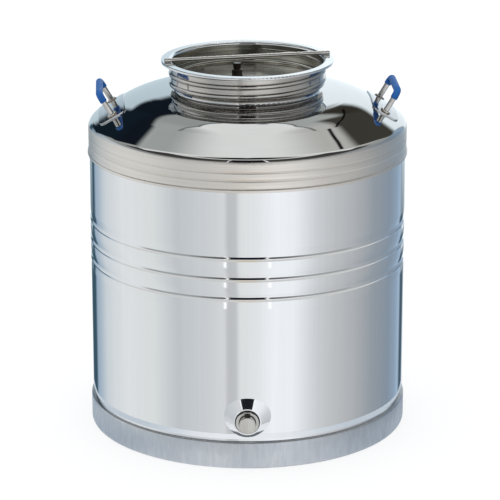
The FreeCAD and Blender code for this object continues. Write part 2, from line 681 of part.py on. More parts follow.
def make_handle_grip(azimuth_deg):
    sleeve = rod_along(GRIP_DOWN, GRIP_R)
    rims = [edge for edge in sleeve.Edges if abs(edge.CenterOfMass.z - (BAIL_HEIGHT - GRIP_DOWN)) < 0.01]
    sleeve = sleeve.makeFillet(GRIP_FILLET, rims)
    sleeve = sleeve.cut(rod_along(GRIP_DOWN + BAIL_ROD_R, BAIL_ROD_R + RUN_FIT))
    return placed(sleeve, azimuth_deg)


def make_port_ferrule():
    face = BOSS_FACE_Y
    ferrule = turned([
        (FERRULE_BORE_R + RUN_FIT, face - FERRULE_TUBE_IN, 0.0),
        (PORT_HOLE_R, face - FERRULE_TUBE_IN, 0.0),
        (PORT_HOLE_R, face, 0.0),
        (FERRULE_R, face, 0.0),
        (FERRULE_R, face + FERRULE_OUT, FERRULE_FILLET),
        (FERRULE_BORE_R + RUN_FIT, face + FERRULE_OUT, 0.0),
    ])
    return facing_front(ferrule)


def make_port_nut():
    high = BOSS_FACE_Y - SHEET
    return facing_front(tube(PORT_NUT_R, PORT_HOLE_R, high - PORT_NUT_H, high))


def make_port_seal():
    low = BOSS_FACE_Y + FERRULE_OUT
    return facing_front(tube(PORT_SEAL_R, FERRULE_BORE_R + RUN_FIT, low, low + PORT_SEAL_H))


def make_port_plug():
    head_low = BOSS_FACE_Y + FERRULE_OUT + PORT_SEAL_H
    plug = turned_to_axis([
        (FERRULE_BORE_R, head_low - PLUG_SHANK_LENGTH, PLUG_END_FILLET),
        (FERRULE_BORE_R, head_low, 0.0),
        (PLUG_HEAD_R, head_low, 0.0),
        (PLUG_HEAD_R, head_low + PLUG_HEAD_H, PLUG_FILLET),
        (PLUG_HEAD_R / 2, head_low + PLUG_HEAD_H, 0.0),
    ])
    return facing_front(plug)


def build_all():
    """Return every node of the fermenter by name."""
    nodes = {
        "body_shell": make_body_shell(),
        "shoulder_dome": make_shoulder_dome(),
        "bottom_plate": make_bottom_plate(),
        "foot_ring": make_foot_ring(),
        "neck_ring": make_neck_ring(),
        "lid_gasket": make_lid_gasket(),
        "lid_pan": make_lid_pan(),
        "lid_bar": make_lid_bar(),
        "vent_seal": make_vent_seal(),
        "vent_body": make_vent_body(),
        "vent_knob": make_vent_knob(),
        "vent_washer": make_vent_washer(),
        "vent_nut": make_vent_nut(),
        "port_ferrule": make_port_ferrule(),
        "port_nut": make_port_nut(),
        "port_seal": make_port_seal(),
        "port_plug": make_port_plug(),
    }
    for side, azimuth_deg in zip(("left", "right"), HANDLE_DEG):
        nodes["handle_plate_" + side] = make_handle_plate(azimuth_deg)
        nodes["handle_bail_" + side] = make_handle_bail(azimuth_deg)
        nodes["handle_grip_" + side] = make_handle_grip(azimuth_deg)
    return nodes


os.makedirs("parts", exist_ok=True)
for node_name, node_shape in build_all().items():
    node_shape.exportStep("parts/" + node_name + ".step")
    print(node_name, node_shape.isValid(), len(node_shape.Solids), round(node_shape.Volume, 1))
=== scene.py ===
"""Stainless steel fermenter dressed for its portrait: mirror sheet, brushed band, satin foot."""

import logging
import math
from collections.abc import Iterable
from dataclasses import dataclass
from enum import Enum

import bmesh
import bpy
from mathutils import Matrix, Vector


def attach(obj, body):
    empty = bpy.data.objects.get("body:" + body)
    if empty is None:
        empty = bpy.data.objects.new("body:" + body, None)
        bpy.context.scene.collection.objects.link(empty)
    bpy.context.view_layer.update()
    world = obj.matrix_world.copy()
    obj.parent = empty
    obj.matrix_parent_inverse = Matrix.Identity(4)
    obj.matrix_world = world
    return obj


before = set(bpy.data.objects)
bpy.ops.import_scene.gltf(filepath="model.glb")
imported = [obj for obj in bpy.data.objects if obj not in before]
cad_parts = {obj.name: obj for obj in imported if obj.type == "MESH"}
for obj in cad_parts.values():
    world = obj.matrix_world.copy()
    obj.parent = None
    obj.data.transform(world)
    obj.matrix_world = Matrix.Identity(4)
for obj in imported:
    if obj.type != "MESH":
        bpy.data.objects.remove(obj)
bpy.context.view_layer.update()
LOG = logging.getLogger("fermenter")
Colour = tuple[float, float, float]
Socket = bpy.types.NodeSocket
MM = 0.001
DRUM_R = 0.23
AXES = ("Round", "Height")


class Grain(Enum):
    """Which way a finish's fine lines run."""

    ROUND = "round"
    UPRIGHT = "upright"


class Side(Enum):
    """The drum's two sides."""

    LEFT = "left"
    RIGHT = "right"


# Node trees


class NodeSheet:
    """Lays nodes in a tree and links them."""

    def __init__(self, tree: bpy.types.NodeTree) -> None:
        """Keep the tree that the nodes go to."""
        self.tree = tree

    def add(self, kind: str, **settings: object) -> bpy.types.Node:
        """Add a node.

        Args:
            kind: the node's type name.
            settings: properties that are set on the node.

        Returns:
            The new node.
        """
        node = self.tree.nodes.new(kind)
        for name, value in settings.items():
            setattr(node, name, value)
        return node

    def feed(self, socket: Socket, value: object) -> None:
        """Give an input a number, a colour or another node's output."""
        if isinstance(value, bpy.types.NodeSocket):
            self.tree.links.new(value, socket)
        elif isinstance(value, tuple) and len(value) == 3 and socket.type == "RGBA":
            socket.default_value = (*value, 1.0)
        else:
            socket.default_value = value

    def math(self, operation: str, *values: object) -> Socket:
        """Add a math node.

        Args:
            operation: what the node works out.
            values: its inputs, sockets or numbers.

        Returns:
            The result.
        """
        node = self.add("ShaderNodeMath", operation=operation)
        for socket, value in zip(node.inputs, values):
            self.feed(socket, value)
        return node.outputs[0]

    def ramp(
        self, value: object, low: object, high: object, start: object = 0.0, end: object = 1.0,
    ) -> Socket:
        """Map a value smoothly from one range to another.

        Args:
            value: what is mapped.
            low: where the change starts.
            high: where the change ends.
            start: the result at low.
            end: the result at high.

        Returns:
            The mapped value.
        """
        node = self.add("ShaderNodeMapRange", interpolation_type="SMOOTHSTEP")
        for socket, given in zip(node.inputs, (value, low, high, start, end)):
            self.feed(socket, given)
        return node.outputs[0]

    def mix(self, factor: object, first: object, second: object) -> Socket:
        """Mix two colours.

        Args:
            factor: share of the second colour.
            first: a colour.
            second: a colour.

        Returns:
            The mixed colour.
        """
        node = self.add("ShaderNodeMix", data_type="RGBA")
        for socket, value in zip((node.inputs[0], node.inputs[6], node.inputs[7]), (factor, first, second)):
            self.feed(socket, value)
        return node.outputs[2]

    def blend(self, factor: object, first: object, second: object) -> Socket:
        """Mix two numbers.

        Args:
            factor: share of the second number.
            first: a number.
            second: a number.

        Returns:
            The mixed number.
        """
        node = self.add("ShaderNodeMix", data_type="FLOAT")
        for socket, value in zip(node.inputs[0:1] + node.inputs[2:4], (factor, first, second)):
            self.feed(socket, value)
        return node.outputs[0]

    def bumped(self, height: object) -> Socket:
        """Turn a height in millimetres into a normal."""
        bump = self.add("ShaderNodeBump")
        bump.inputs["Strength"].default_value = 1.0
        bump.inputs["Distance"].default_value = MM
        self.feed(bump.inputs["Height"], height)
        return bump.outputs["Normal"]


@dataclass(frozen=True)
class GroupSocket:
    """One number that goes into or comes out of a shader node group."""

    name: str
    value: float | None = None


def new_group(
    name: str, inputs: Iterable[GroupSocket], outputs: Iterable[GroupSocket],
) -> tuple[NodeSheet, bpy.types.Node, bpy.types.Node]:
    """Start a shader node group.

    Args:
        name: the group's name.
        inputs: its input sockets.
        outputs: its output sockets.

    Returns:
        The group's sheet, its input node and its output node.
    """
    tree = bpy.data.node_groups.new(name, "ShaderNodeTree")
    for direction, sockets in (("INPUT", inputs), ("OUTPUT", outputs)):
        for given in sockets:
            socket = tree.interface.new_socket(given.name, in_out=direction, socket_type="NodeSocketFloat")
            if given.value is not None:
                socket.default_value = given.value
    sheet = NodeSheet(tree)
    return sheet, sheet.add("NodeGroupInput"), sheet.add("NodeGroupOutput")


class SharedEffects:
    """The node groups that several finishes use."""

    def __init__(self) -> None:
        """Build each group once."""
        self.drum_place = self._drum_place()
        self.drawn_lines = self._drawn_lines()
        self.sheet_waves = self._sheet_waves()
        self.handling = self._handling()

    @staticmethod
    def _drum_place() -> bpy.types.NodeTree:
        """Place of a point on the drum: metres round it, and its height."""
        sheet, _, out = new_group("drum_place", (), [GroupSocket(axis) for axis in AXES])
        spot = sheet.add("ShaderNodeSeparateXYZ")
        sheet.feed(spot.inputs[0], sheet.add("ShaderNodeTexCoord").outputs["Object"])
        turn = sheet.math("ARCTAN2", spot.outputs[0], spot.outputs[1])
        sheet.feed(out.inputs["Round"], sheet.math("MULTIPLY", turn, DRUM_R))
        sheet.feed(out.inputs["Height"], spot.outputs[2])
        return sheet.tree

    @staticmethod
    def _drawn_lines() -> bpy.types.NodeTree:
        """Fine parallel lines, as rolling or brushing leaves them, with broad soft streaks among them."""
        inputs = {"Along": 0.0, "Across": 0.0, "Lines per m": 900.0, "Line length": 0.25}
        sheet, given, out = new_group(
            "drawn_lines",
            [GroupSocket(name, value) for name, value in inputs.items()],
            (GroupSocket("Fine"), GroupSocket("Broad")),
        )
        for name, lines_share, detail in (("Fine", 1.0, 4.0), ("Broad", 0.09, 2.0)):
            place = sheet.add("ShaderNodeCombineXYZ")
            along = sheet.math("DIVIDE", given.outputs["Along"], given.outputs["Line length"])
            sheet.feed(place.inputs[0], along)
            lines = sheet.math("MULTIPLY", given.outputs["Across"], given.outputs["Lines per m"])
            sheet.feed(place.inputs[1], sheet.math("MULTIPLY", lines, lines_share))
            noise = sheet.add("ShaderNodeTexNoise")
            sheet.feed(noise.inputs["Vector"], place.outputs[0])
            sheet.feed(noise.inputs["Scale"], 1.0)
            sheet.feed(noise.inputs["Detail"], detail)
            sheet.feed(out.inputs[name], noise.outputs["Fac"])
        return sheet.tree

    @staticmethod
    def _sheet_waves() -> bpy.types.NodeTree:
        """Slow swells of rolled sheet, which bend what it mirrors."""
        inputs = {"Along": 0.0, "Up": 0.0, "Length": 0.12, "Height": 0.4}
        sheet, given, out = new_group(
            "sheet_waves",
            [GroupSocket(name, value) for name, value in inputs.items()],
            (GroupSocket("Swell"),),
        )
        place = sheet.add("ShaderNodeCombineXYZ")
        sheet.feed(place.inputs[0], sheet.math("DIVIDE", given.outputs["Along"], given.outputs["Length"]))
        sheet.feed(place.inputs[1], sheet.math("DIVIDE", given.outputs["Up"], given.outputs["Height"]))
        noise = sheet.add("ShaderNodeTexNoise")
        sheet.feed(noise.inputs["Vector"], place.outputs[0])
        sheet.feed(noise.inputs["Scale"], 1.0)
        sheet.feed(noise.inputs["Detail"], 1.0)
        sheet.feed(out.inputs["Swell"], noise.outputs["Fac"])
        return sheet.tree

    @staticmethod
    def _handling() -> bpy.types.NodeTree:
        """Soft cloudy marks from wiping, and small specks."""
        sheet, given, out = new_group(
            "handling_marks",
            (GroupSocket("Cloud scale", 14.0), GroupSocket("Speck scale", 420.0)),
            (GroupSocket("Clouds"), GroupSocket("Specks")),
        )
        cloud_edges, speck_edges = (0.42, 0.68), (0.16, 0.06)
        place = sheet.add("ShaderNodeTexCoord")
        cloud = sheet.add("ShaderNodeTexNoise")
        sheet.feed(cloud.inputs["Vector"], place.outputs["Object"])
        sheet.feed(cloud.inputs["Scale"], given.outputs["Cloud scale"])
        sheet.feed(cloud.inputs["Detail"], 5.0)
        sheet.feed(out.inputs["Clouds"], sheet.ramp(cloud.outputs["Fac"], *cloud_edges))
        speck = sheet.add("ShaderNodeTexVoronoi")
        sheet.feed(speck.inputs["Vector"], place.outputs["Object"])
        sheet.feed(speck.inputs["Scale"], given.outputs["Speck scale"])
        sheet.feed(out.inputs["Specks"], sheet.ramp(speck.outputs["Distance"], *speck_edges))
        return sheet.tree


# Finishes


@dataclass(frozen=True)
class SteelFinish:
    """A stainless steel surface, from mirror to satin; depths and swells are in millimetres."""

    name: str
    tone: Colour
    dark_tone: Colour
    roughness: float
    rough_spread: float = 0.03
    grain: Grain = Grain.ROUND
    lines_per_m: float = 900.0
    line_length: float = 0.25
    line_depth: float = 0.02
    line_tint: float = 0.3
    swell: float = 0.0
    swell_length: float = 0.05
    clouds: float = 0.3
    fine_share: float = 0.6
    line_edges: tuple[float, float] = (0.38, 0.62)
    cloud_tint: float = 0.35
    speck_tint: float = 0.3

    def build(self, effects: SharedEffects) -> bpy.types.Material:
        """Make the material.

        Args:
            effects: the shared node groups.

        Returns:
            The material.
        """
        material = bpy.data.materials.new(self.name)
        material.use_nodes = True
        sheet = NodeSheet(material.node_tree)
        shader = material.node_tree.nodes["Principled BSDF"]
        shader.inputs["Metallic"].default_value = 1.0
        colour, rough, height = self.surface(sheet, effects)
        sheet.feed(shader.inputs["Base Color"], colour)
        sheet.feed(shader.inputs["Roughness"], rough)
        sheet.feed(shader.inputs["Normal"], sheet.bumped(height))
        return material

    def surface(self, sheet: NodeSheet, effects: SharedEffects) -> tuple[Socket, Socket, Socket]:
        """Lay the nodes of this finish.

        Args:
            sheet: the material's nodes.
            effects: the shared node groups.

        Returns:
            Colour, roughness and height in millimetres.
        """
        place = sheet.add("ShaderNodeGroup", node_tree=effects.drum_place)
        lines = sheet.add("ShaderNodeGroup", node_tree=effects.drawn_lines)
        along, across = AXES if self.grain is Grain.ROUND else reversed(AXES)
        sheet.feed(lines.inputs["Along"], place.outputs[along])
        sheet.feed(lines.inputs["Across"], place.outputs[across])
        sheet.feed(lines.inputs["Lines per m"], self.lines_per_m)
        sheet.feed(lines.inputs["Line length"], self.line_length)
        marks = sheet.add("ShaderNodeGroup", node_tree=effects.handling)
        broad = sheet.math("MULTIPLY", lines.outputs["Broad"], 1.0 - self.fine_share)
        streak = sheet.math("MULTIPLY_ADD", lines.outputs["Fine"], self.fine_share, broad)
        mask = sheet.ramp(streak, *self.line_edges)
        shade = sheet.math("MULTIPLY", mask, self.line_tint)
        shade = sheet.math("MULTIPLY_ADD", marks.outputs["Clouds"], self.cloud_tint * self.clouds, shade)
        shade = sheet.math("MULTIPLY_ADD", marks.outputs["Specks"], self.speck_tint * self.clouds, shade)
        rough = sheet.math("MULTIPLY_ADD", mask, self.rough_spread, self.roughness)
        rough = sheet.math("MULTIPLY_ADD", marks.outputs["Clouds"], self.rough_spread * self.clouds, rough)
        height = sheet.math("MULTIPLY", streak, self.line_depth)
        if self.swell > 0:
            waves = sheet.add("ShaderNodeGroup", node_tree=effects.sheet_waves)
            sheet.feed(waves.inputs["Along"], place.outputs["Round"])
            sheet.feed(waves.inputs["Up"], place.outputs["Height"])
            sheet.feed(waves.inputs["Length"], self.swell_length)
            height = sheet.math("MULTIPLY_ADD", waves.outputs["Swell"], self.swell, height)
        return sheet.mix(shade, self.tone, self.dark_tone), rough, height


@dataclass(frozen=True)
class BandedFinish:
    """A finish that changes at a height, such as a brushed band under a mirror dome."""

    name: str
    lower: SteelFinish
    upper: SteelFinish
    edge_z: float
    edge_blur: float

    def build(self, effects: SharedEffects) -> bpy.types.Material:
        """Make the material.

        Args:
            effects: the shared node groups.

        Returns:
            The material.
        """
        material = bpy.data.materials.new(self.name)
        material.use_nodes = True
        sheet = NodeSheet(material.node_tree)
        shader = material.node_tree.nodes["Principled BSDF"]
        shader.inputs["Metallic"].default_value = 1.0
        place = sheet.add("ShaderNodeGroup", node_tree=effects.drum_place)
        edges = (self.edge_z - self.edge_blur, self.edge_z + self.edge_blur)
        above = sheet.ramp(place.outputs["Height"], *edges)
        low = self.lower.surface(sheet, effects)
        high = self.upper.surface(sheet, effects)
        sheet.feed(shader.inputs["Base Color"], sheet.mix(above, low[0], high[0]))
        rough, height = (sheet.blend(above, first, second) for first, second in zip(low[1:], high[1:]))
        sheet.feed(shader.inputs["Roughness"], rough)
        sheet.feed(shader.inputs["Normal"], sheet.bumped(height))
        return material


@dataclass(frozen=True)
class MouldedFinish:
    """A moulded plastic or rubber surface."""

    name: str
    colour: Colour
    worn_colour: Colour
    roughness: float
    pitting: float = 0.02
    rough_spread: float = 0.12
    cloud_scale: float = 90.0
    speck_scale: float = 900.0

    def build(self, effects: SharedEffects) -> bpy.types.Material:
        """Make the material.

        Args:
            effects: the shared node groups.

        Returns:
            The material.
        """
        material = bpy.data.materials.new(self.name)
        material.use_nodes = True
        sheet = NodeSheet(material.node_tree)
        shader = material.node_tree.nodes["Principled BSDF"]
        marks = sheet.add("ShaderNodeGroup", node_tree=effects.handling)
        sheet.feed(marks.inputs["Cloud scale"], self.cloud_scale)
        sheet.feed(marks.inputs["Speck scale"], self.speck_scale)
        clouds = marks.outputs["Clouds"]
        sheet.feed(shader.inputs["Base Color"], sheet.mix(clouds, self.colour, self.worn_colour))
        rough = sheet.math("MULTIPLY_ADD", clouds, self.rough_spread, self.roughness)
        sheet.feed(shader.inputs["Roughness"], rough)
        pits = sheet.math("MULTIPLY", marks.outputs["Specks"], self.pitting)
        sheet.feed(shader.inputs["Normal"], sheet.bumped(pits))
        return material


# Studio


@dataclass(frozen=True)
class Panel:
    """A soft-edged field of the studio's surroundings, seen from the object.

    Azimuth 0 is towards the front of the object and grows to the right; sizes are in degrees. A bowed
    field's level rises away from its centre, by the bow from 22 degrees on, and a tilted one's with azimuth.
    """

    azimuth: float
    half_width: float
    elevation: float
    half_height: float
    colour: Colour
    soft: float = 4.0
    soft_height: float = 4.0
    bow: float = 0.0
    tilt: float = 0.0


@dataclass
class Studio:
    """Pale floor, plain soft surroundings and the camera."""

    lens: float = 190.4
    camera_at: tuple[float, float, float] = (0.0036, -3.726, 1.4046)
    camera_down_deg: float = 17.16
    near_floor_r: float = 0.30
    floor_size: float = 14.0
    floor_colour: float = 0.34
    floor_glow: float = 0.74
    floor_tone: Colour = (0.95, 0.97, 1.0)
    floor_side_tone: Colour = (0.48, 0.57, 0.66)
    floor_side: tuple[float, float] = (0.06, 0.24)
    diffuse_tone: Colour = (0.92, 0.94, 0.96)
    wall_height: float = 25.0
    wall_blur: float = 2.0
    wall_tones: tuple[tuple[float, Colour], ...] = (
        (-180, (0.72, 0.80, 0.86)), (-172, (0.60, 0.70, 0.78)), (-166, (0.05, 0.10, 0.14)),
        (-151, (0.04, 0.09, 0.13)), (-147, (0.34, 0.46, 0.58)), (-138, (0.46, 0.55, 0.64)),
        (-126, (0.70, 0.75, 0.78)), (-100, (0.86, 0.88, 0.89)), (-72, (0.80, 0.83, 0.83)),
        (-52, (0.62, 0.65, 0.68)), (-34, (0.68, 0.71, 0.73)), (-17, (0.78, 0.79, 0.80)),
        (-14, (0.60, 0.61, 0.62)), (-8, (0.62, 0.63, 0.64)), (-6, (0.84, 0.86, 0.86)),
        (8, (0.92, 0.93, 0.94)), (20, (1.02, 1.05, 1.08)), (34, (0.98, 1.01, 1.04)),
        (50, (0.72, 0.74, 0.76)), (66, (0.60, 0.61, 0.62)), (86, (0.48, 0.50, 0.52)),
        (104, (0.34, 0.38, 0.42)), (126, (0.27, 0.33, 0.40)), (140, (0.30, 0.40, 0.52)),
        (150, (0.40, 0.53, 0.68)), (154, (0.06, 0.10, 0.14)), (163, (0.07, 0.12, 0.16)),
        (168, (0.60, 0.70, 0.78)),
    )
    upper_tone: Colour = (0.40, 0.41, 0.41)
    panels: tuple[Panel, ...] = (
        Panel(0, 181, 90, 30, (0.92, 0.92, 0.90), soft_height=6),
        Panel(0, 130, 48, 12, (0.07, 0.065, 0.06), soft=14, soft_height=5),
        Panel(0, 15, 34, 20, (0.012, 0.013, 0.018), soft=1.5, soft_height=4),
        Panel(15.8, 0.9, 22, 34, (1.3, 1.3, 1.3), soft=0.6, soft_height=4),
        Panel(-15.8, 0.9, 22, 34, (1.3, 1.3, 1.3), soft=0.6, soft_height=4),
        Panel(0, 80, 78, 10, (0.012, 0.012, 0.016), soft=30, soft_height=4),
        Panel(0, 181, -62, 26, (0.70, 0.70, 0.69), soft_height=10),
        Panel(0, 14.7, -62, 26, (0.68, 0.60, 0.49), soft=1.5, soft_height=4),
        Panel(180, 60, 44, 20, (0.42, 0.445, 0.435), soft=6, soft_height=4),
        Panel(158, 22, 48, 11, (0.52, 0.545, 0.53), soft=14, soft_height=4),
        Panel(180, 70, 90, 40, (1.05, 1.06, 1.04), soft=10, soft_height=1.5, bow=7),
        Panel(-123, 17.5, 62, 15.5, (1.05, 1.06, 1.04), soft=1.5, soft_height=2),
        Panel(123, 17.5, 62, 15.5, (1.05, 1.06, 1.04), soft=1.5, soft_height=2),
        Panel(-137, 15, 53, 13, (0.50, 0.52, 0.51), soft=14, soft_height=20),
        Panel(137, 15, 53, 13, (0.66, 0.65, 0.62), soft=14, soft_height=20),
        Panel(-169, 12, 6, 21, (0.66, 0.79, 0.87), soft=5, soft_height=6),
        Panel(167, 14, 6, 21, (1.08, 1.17, 1.22), soft=5, soft_height=6),
        Panel(-156, 22, 32.5, 7.5, (0.008, 0.012, 0.020), soft=6, soft_height=3, tilt=0.38),
        Panel(-150, 9.5, 22, 13, (0.008, 0.016, 0.026), soft=5, soft_height=6),
        Panel(156, 15, 29, 6, (0.045, 0.040, 0.032), soft=5, soft_height=5),
        Panel(149, 10, 36, 11, (0.065, 0.060, 0.050), soft=5, soft_height=6),
        Panel(151, 15, 41.5, 0.6, (0.006, 0.005, 0.005), soft=3, soft_height=0.8, tilt=-0.875),
        Panel(180, 39, 49.5, 0.6, (0.20, 0.21, 0.22), soft=8, soft_height=1.2, bow=7),
        Panel(175, 1.6, 45, 8, (0.04, 0.08, 0.12), soft=2, soft_height=5),
        Panel(177, 1.6, 35, 1.8, (9.0, 9.0, 9.0), soft=1, soft_height=1),
    )

    def place_camera(self) -> None:
        """Put the camera where the photograph was taken from."""
        camera = bpy.data.objects.new("camera", bpy.data.cameras.new("camera"))
        bpy.context.scene.collection.objects.link(camera)
        camera.data.lens = self.lens
        camera.data.clip_start, camera.data.clip_end = 0.05, 60.0
        camera.location = self.camera_at
        camera.rotation_euler = (math.radians(90 - self.camera_down_deg), 0, 0)
        bpy.context.scene.camera = camera

    def build_surroundings(self) -> None:
        """Build the world: white for the camera, soft panels for what the steel mirrors."""
        scene = bpy.context.scene
        scene.view_settings.view_transform = "Standard"
        world = bpy.data.worlds.new("studio")
        world.use_nodes = True
        scene.world = world
        sheet = NodeSheet(world.node_tree)
        background = world.node_tree.nodes["Background"]
        ray = sheet.add("ShaderNodeLightPath")
        direction = sheet.add("ShaderNodeSeparateXYZ")
        sheet.feed(direction.inputs[0], sheet.add("ShaderNodeTexCoord").outputs["Generated"])
        back = sheet.math("MULTIPLY", direction.outputs[1], -1.0)
        azimuth = sheet.math("DEGREES", sheet.math("ARCTAN2", direction.outputs[0], back))
        elevation = sheet.math("DEGREES", sheet.math("ARCSINE", direction.outputs[2]))
        walls = sheet.add("ShaderNodeValToRGB")
        sheet.feed(walls.inputs[0], sheet.math("DIVIDE", sheet.math("ADD", azimuth, 180.0), 360.0))
        stops = walls.color_ramp.elements
        stops.remove(stops[1])
        stops[0].color = (*self.wall_tones[0][1], 1.0)
        for at, tone in self.wall_tones[1:]:
            stops.new((at + 180.0) / 360.0).color = (*tone, 1.0)
        mask = self._panel_mask()
        edges = (self.wall_height - self.wall_blur, self.wall_height + self.wall_blur)
        upper = sheet.ramp(elevation, *edges)
        colour = sheet.mix(upper, walls.outputs[0], self.upper_tone)
        for panel in self.panels:
            node = sheet.add("ShaderNodeGroup", node_tree=mask)
            values = (
                azimuth, elevation, panel.azimuth, panel.half_width, panel.soft,
                panel.elevation, panel.half_height, panel.soft_height, panel.bow, panel.tilt,
            )
            for socket, value in zip(node.inputs, values):
                sheet.feed(socket, value)
            colour = sheet.mix(node.outputs[0], colour, panel.colour)
        colour = sheet.mix(ray.outputs["Is Diffuse Ray"], colour, self.diffuse_tone)
        colour = sheet.mix(ray.outputs["Is Camera Ray"], colour, (1.0, 1.0, 1.0))
        sheet.feed(background.inputs["Color"], colour)

    @staticmethod
    def _panel_mask() -> bpy.types.NodeTree:
        """Mask of one soft-edged field of directions."""
        half_turn, full_turn, bow_reach = 180.0, 360.0, 22.0
        names = (
            "Azimuth", "Elevation", "Centre", "Half width", "Side softness",
            "Level", "Half height", "Height softness", "Bow", "Tilt",
        )
        sheet, given, out = new_group(
            "panel_mask", [GroupSocket(name, 0.0) for name in names], (GroupSocket("Mask"),),
        )
        turned = sheet.math("SUBTRACT", given.outputs["Azimuth"], given.outputs["Centre"])
        turned = sheet.math("ADD", turned, full_turn + half_turn)
        offset = sheet.math("SUBTRACT", sheet.math("MODULO", turned, full_turn), half_turn)
        away = sheet.math("ABSOLUTE", offset)
        spread = sheet.math("POWER", sheet.math("DIVIDE", away, bow_reach), 2.0)
        spread = sheet.math("MINIMUM", spread, 1.0)
        level = sheet.math("MULTIPLY_ADD", spread, given.outputs["Bow"], given.outputs["Level"])
        level = sheet.math("MULTIPLY_ADD", offset, given.outputs["Tilt"], level)
        above = sheet.math("ABSOLUTE", sheet.math("SUBTRACT", given.outputs["Elevation"], level))
        masks = []
        sides = ((away, "Half width", "Side softness"), (above, "Half height", "Height softness"))
        for distance, half, soft in sides:
            reach = sheet.math("MULTIPLY", given.outputs[soft], 0.5)
            low = sheet.math("SUBTRACT", given.outputs[half], reach)
            high = sheet.math("ADD", given.outputs[half], reach)
            masks.append(sheet.ramp(distance, low, high, 1.0, 0.0))
        sheet.feed(out.inputs["Mask"], sheet.math("MULTIPLY", *masks))
        return sheet.tree

    def lay_floor(self) -> None:
        """Lay the pale floor; the steel mirrors only the part near the object."""
        material = bpy.data.materials.new("pale_floor")
        material.use_nodes = True
        sheet = NodeSheet(material.node_tree)
        tree = material.node_tree
        tree.nodes.remove(tree.nodes["Principled BSDF"])
        ray = sheet.add("ShaderNodeLightPath")
        matt = sheet.add("ShaderNodeBsdfDiffuse")
        sheet.feed(matt.inputs["Color"], (self.floor_colour,) * 3)
        glow = sheet.add("ShaderNodeEmission")
        bounced = sheet.math("MAXIMUM", ray.outputs["Is Glossy Ray"], ray.outputs["Is Transmission Ray"])
        seen = sheet.math("MAXIMUM", ray.outputs["Is Camera Ray"], bounced)
        sheet.feed(glow.inputs["Strength"], sheet.math("MULTIPLY", seen, self.floor_glow))
        spot = sheet.add("ShaderNodeSeparateXYZ")
        sheet.feed(spot.inputs[0], sheet.add("ShaderNodeTexCoord").outputs["Object"])
        aside = sheet.ramp(sheet.math("ABSOLUTE", spot.outputs[0]), *self.floor_side)
        mirrored = sheet.mix(aside, self.floor_tone, self.floor_side_tone)
        tone = sheet.mix(ray.outputs["Is Camera Ray"], mirrored, (1.0, 1.0, 1.0))
        sheet.feed(glow.inputs["Color"], tone)
        both = sheet.add("ShaderNodeAddShader")
        sheet.feed(both.inputs[0], matt.outputs[0])
        sheet.feed(both.inputs[1], glow.outputs[0])
        sheet.feed(tree.nodes["Material Output"].inputs["Surface"], both.outputs[0])
        parts = (
            ("floor_near", 0.0, self.near_floor_r, True),
            ("floor_far", self.near_floor_r, self.floor_size, False),
        )
        for name, inner, outer, mirrored_too in parts:
            floor = self._ring(name, inner, outer)
            floor.data.materials.append(material)
            floor.visible_glossy = mirrored_too

    @staticmethod
    def _ring(name: str, inner: float, outer: float, steps: int = 128) -> bpy.types.Object:
        """Make a flat ring or disc on the floor.

        Args:
            name: the object's name.
            inner: inside radius, 0 for a disc.
            outer: outside radius.
            steps: pieces round it.

        Returns:
            The new object.
        """
        turns = [2 * math.pi * step / steps for step in range(steps)]
        edge = [(outer * math.cos(turn), outer * math.sin(turn), 0.0) for turn in turns]
        if inner > 0:
            hole = [(inner * math.cos(turn), inner * math.sin(turn), 0.0) for turn in turns]
            nexts = [(step + 1) % steps for step in range(steps)]
            faces = [(step, after, steps + after, steps + step) for step, after in enumerate(nexts)]
            points = edge + hole
        else:
            points, faces = edge, [tuple(range(steps))]
        mesh = bpy.data.meshes.new(name)
        mesh.from_pydata(points, [], faces)
        floor = bpy.data.objects.new(name, mesh)
        bpy.context.scene.collection.objects.link(floor)
        return floor


def dress(node_names: Iterable[str], material: bpy.types.Material) -> None:
    """Give carried nodes their material.

    Args:
        node_names: the nodes.
        material: what they are made of.
    """
    for name in node_names:
        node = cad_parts[name]
        node.data.materials.clear()
        node.data.materials.append(material)
        LOG.info("dressed %s in %s", name, material.name)


def swept_ring(
    name: str, line: list[Vector], sides: list[Vector], up: Vector, radii: list[float], steps: int = 10,
) -> bpy.types.Object:
    """Sweep a round section along a closed line.

    Args:
        name: the piece's name.
        line: points of the line, which closes on itself.
        sides: the section's first direction at each point.
        up: its second direction.
        radii: its radius at each point.
        steps: points round the section.

    Returns:
        The new piece.
    """
    mesh = bpy.data.meshes.new(name)
    shape = bmesh.new()
    turns = [2 * math.pi * step / steps for step in range(steps)]
    rings = []
    for at, side, radius in zip(line, sides, radii):
        offsets = [radius * (math.cos(turn) * side + math.sin(turn) * up) for turn in turns]
        rings.append([shape.verts.new(at + offset) for offset in offsets])
    for ring, following in zip(rings, rings[1:] + rings[:1]):
        for step in range(steps):
            last = (step + 1) % steps
            shape.faces.new((ring[step], ring[last], following[last], following[step])).smooth = True
    bmesh.ops.recalc_face_normals(shape, faces=shape.faces)
    shape.to_mesh(mesh)
    shape.free()
    piece = bpy.data.objects.new(name, mesh)
    bpy.context.scene.collection.objects.link(piece)
    return piece


def add_piece(piece: bpy.types.Object, body: str, material: bpy.types.Material) -> None:
    """Finish a new piece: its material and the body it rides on.

    Args:
        piece: the new piece.
        body: the body that carries it.
        material: what it is made of.
    """
    piece.data.materials.append(material)
    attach(piece, body)
    LOG.info("added %s on %s", piece.name, body)


# The fermenter


